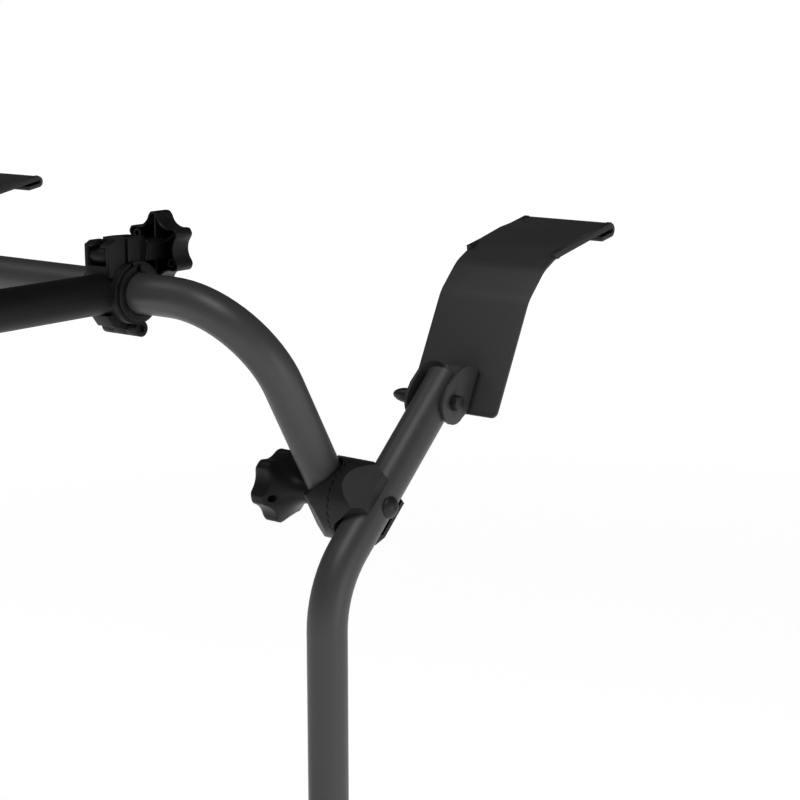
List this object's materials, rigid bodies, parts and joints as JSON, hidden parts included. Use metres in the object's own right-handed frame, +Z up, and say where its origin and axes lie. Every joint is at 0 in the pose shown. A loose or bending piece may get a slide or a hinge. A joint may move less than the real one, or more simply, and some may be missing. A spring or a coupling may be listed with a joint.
{
  "type": "van rear door bike carrier",
  "caption": "Tubular bike carrier that hangs on a van's rear door: door hooks, tilting hoop with clamp-on arms, and a folding wheel platform.",
  "frame": {"origin": "midway between the two door hooks, on the line where they sit on the door's top edge", "axes": "+X to the right seen from behind the van, +Y forward to the van, +Z up"},
  "size_m": [1.188, 0.976, 1.0527],
  "materials": {
    "frame_powder": "satin powder coat",
    "hook_steel": "satin powder coat",
    "arm_coat": "matte powder coat",
    "black_plastic": "matte moulded",
    "knob_plastic": "satin moulded",
    "liner_rubber": "matte",
    "fastener_steel": "zinc plated",
    "tray_aluminium": "extruded",
    "strap_rubber": "matte"
  },
  "bodies": {
    "frame": {"upright_right": "frame_powder", "upright_left": "frame_powder", "lower_cross_tube": "frame_powder", "frame_tee_right": "black_plastic", "frame_tee_left": "black_plastic", "hub_outer_half_right": "black_plastic", "hub_outer_half_left": "black_plastic", "pivot_bolts": "fastener_steel", "upright_end_caps": "black_plastic", "pad_brackets": "black_plastic", "door_pads": "liner_rubber", "bottom_hooks": "hook_steel", "fold_lugs": "hook_steel", "fold_bolts": "fastener_steel"},
    "hoop": {"hoop_tube": "frame_powder", "hub_inner_half_right": "black_plastic", "hub_inner_half_left": "black_plastic", "hub_saddle_washers": "black_plastic"},
    "platform": {"platform_deck_tube": "frame_powder", "platform_forks": "black_plastic", "tray_cradles": "black_plastic", "wheel_tray_front": "tray_aluminium", "wheel_tray_rear": "tray_aluminium", "tray_end_trims": "black_plastic", "wheel_straps": "strap_rubber", "strap_buckles": "black_plastic"},
    "hub_knob_right": {"hub_knob_right": "knob_plastic"},
    "door_hook_right": {"door_hook_plate_right": "hook_steel", "door_hook_liner_right": "liner_rubber", "hook_clevis_right": "hook_steel", "hook_bolt_right": "fastener_steel", "hook_cap_nut_right": "fastener_steel"},
    "clamp_bush_right": {"clamp_bush_right": "black_plastic"},
    "arm_right": {"rear_jaw_right": "black_plastic", "jaw_pin_right": "fastener_steel", "bike_arm_right": "arm_coat", "claw_body_right": "black_plastic"},
    "front_jaw_right": {"front_jaw_right": "black_plastic"},
    "stud_right": {"barrel_nut_right": "fastener_steel", "swing_stud_right": "fastener_steel"},
    "thrust_washer_right": {"thrust_washer_right": "fastener_steel"},
    "clamp_knob_right": {"clamp_knob_right": "knob_plastic"},
    "claw_jaw_right": {"claw_jaw_right": "black_plastic"},
    "hub_knob_left": {"hub_knob_left": "knob_plastic"},
    "door_hook_left": {"door_hook_plate_left": "hook_steel", "door_hook_liner_left": "liner_rubber", "hook_clevis_left": "hook_steel", "hook_bolt_left": "fastener_steel", "hook_cap_nut_left": "fastener_steel"},
    "clamp_bush_left": {"clamp_bush_left": "black_plastic"},
    "arm_left": {"rear_jaw_left": "black_plastic", "jaw_pin_left": "fastener_steel", "bike_arm_left": "arm_coat", "claw_body_left": "black_plastic"},
    "front_jaw_left": {"front_jaw_left": "black_plastic"},
    "stud_left": {"barrel_nut_left": "fastener_steel", "swing_stud_left": "fastener_steel"},
    "thrust_washer_left": {"thrust_washer_left": "fastener_steel"},
    "clamp_knob_left": {"clamp_knob_left": "knob_plastic"},
    "claw_jaw_left": {"claw_jaw_left": "black_plastic"}
  },
  "joints": [
    {"name": "hoop_tilt", "type": "hinge", "parent": "frame", "child": "hoop", "pos_m": [0, -0.275, -0.2105], "axis": [1, 0, 0], "range_deg": [-45, 95]},
    {"name": "platform_fold", "type": "hinge", "parent": "frame", "child": "platform", "pos_m": [0, -0.43235, -0.87], "axis": [1, 0, 0], "range_deg": [-90, 0]},
    {"name": "hub_knob_spin_right", "type": "hinge", "parent": "frame", "child": "hub_knob_right", "pos_m": [0.288, -0.275, -0.2105], "axis": [1, 0, 0], "continuous": true},
    {"name": "door_hook_tilt_right", "type": "hinge", "parent": "frame", "child": "door_hook_right", "pos_m": [0.4, -0.18815, -0.13285], "axis": [1, 0, 0], "range_deg": [-40, 4]},
    {"name": "clamp_slide_right", "type": "slide", "parent": "hoop", "child": "clamp_bush_right", "axis": [1, 0, 0], "range_m": [-0.14, 0.033]},
    {"name": "arm_swing_right", "type": "hinge", "parent": "clamp_bush_right", "child": "arm_right", "pos_m": [0.208, -0.38189, -0.02904], "axis": [1, 0, 0], "range_deg": [-90, 60]},
    {"name": "stud_swing_right", "type": "hinge", "parent": "arm_right", "child": "stud_right", "pos_m": [0.208, -0.40089, 0.00336], "axis": [1, 0, 0], "range_deg": [0, 100]},
    {"name": "washer_slide_right", "type": "slide", "parent": "stud_right", "child": "thrust_washer_right", "axis": [0, 1, 0], "range_m": [0, 0.012]},
    {"name": "front_jaw_open_right", "type": "hinge", "parent": "arm_right", "child": "front_jaw_right", "pos_m": [0.208, -0.37889, -0.06054], "axis": [1, 0, 0], "range_deg": [-10.5, 0]},
    {"name": "clamp_knob_spin_right", "type": "hinge", "parent": "thrust_washer_right", "child": "clamp_knob_right", "pos_m": [0.208, -0.33189, 0.00336], "axis": [0, 1, 0], "continuous": true},
    {"name": "claw_open_right", "type": "hinge", "parent": "arm_right", "child": "claw_jaw_right", "pos_m": [0.208, -0.84689, 0.00296], "axis": [1, 0, 0], "range_deg": [-100, 0]},
    {"name": "hub_knob_spin_left", "type": "hinge", "parent": "frame", "child": "hub_knob_left", "pos_m": [-0.288, -0.275, -0.2105], "axis": [1, 0, 0], "continuous": true},
    {"name": "door_hook_tilt_left", "type": "hinge", "parent": "frame", "child": "door_hook_left", "pos_m": [-0.4, -0.18815, -0.13285], "axis": [1, 0, 0], "range_deg": [-40, 4]},
    {"name": "clamp_slide_left", "type": "slide", "parent": "hoop", "child": "clamp_bush_left", "axis": [1, 0, 0], "range_m": [-0.093, 0.1]},
    {"name": "arm_swing_left", "type": "hinge", "parent": "clamp_bush_left", "child": "arm_left", "pos_m": [-0.15, -0.38189, -0.02904], "axis": [1, 0, 0], "range_deg": [-90, 60]},
    {"name": "stud_swing_left", "type": "hinge", "parent": "arm_left", "child": "stud_left", "pos_m": [-0.15, -0.40089, 0.00336], "axis": [1, 0, 0], "range_deg": [0, 100]},
    {"name": "washer_slide_left", "type": "slide", "parent": "stud_left", "child": "thrust_washer_left", "axis": [0, 1, 0], "range_m": [0, 0.012]},
    {"name": "front_jaw_open_left", "type": "hinge", "parent": "arm_left", "child": "front_jaw_left", "pos_m": [-0.15, -0.37889, -0.06054], "axis": [1, 0, 0], "range_deg": [-10.5, 0]},
    {"name": "clamp_knob_spin_left", "type": "hinge", "parent": "thrust_washer_left", "child": "clamp_knob_left", "pos_m": [-0.15, -0.33189, 0.00336], "axis": [0, 1, 0], "continuous": true},
    {"name": "claw_open_left", "type": "hinge", "parent": "arm_left", "child": "claw_jaw_left", "pos_m": [-0.15, -0.67689, 0.00296], "axis": [1, 0, 0], "range_deg": [-100, 0]}
  ],
  "couplings": [
    {"joint": "front_jaw_open_right", "follows": "washer_slide_right", "rad_per_m": -15},
    {"joint": "front_jaw_open_left", "follows": "washer_slide_left", "rad_per_m": -15}
  ]
}
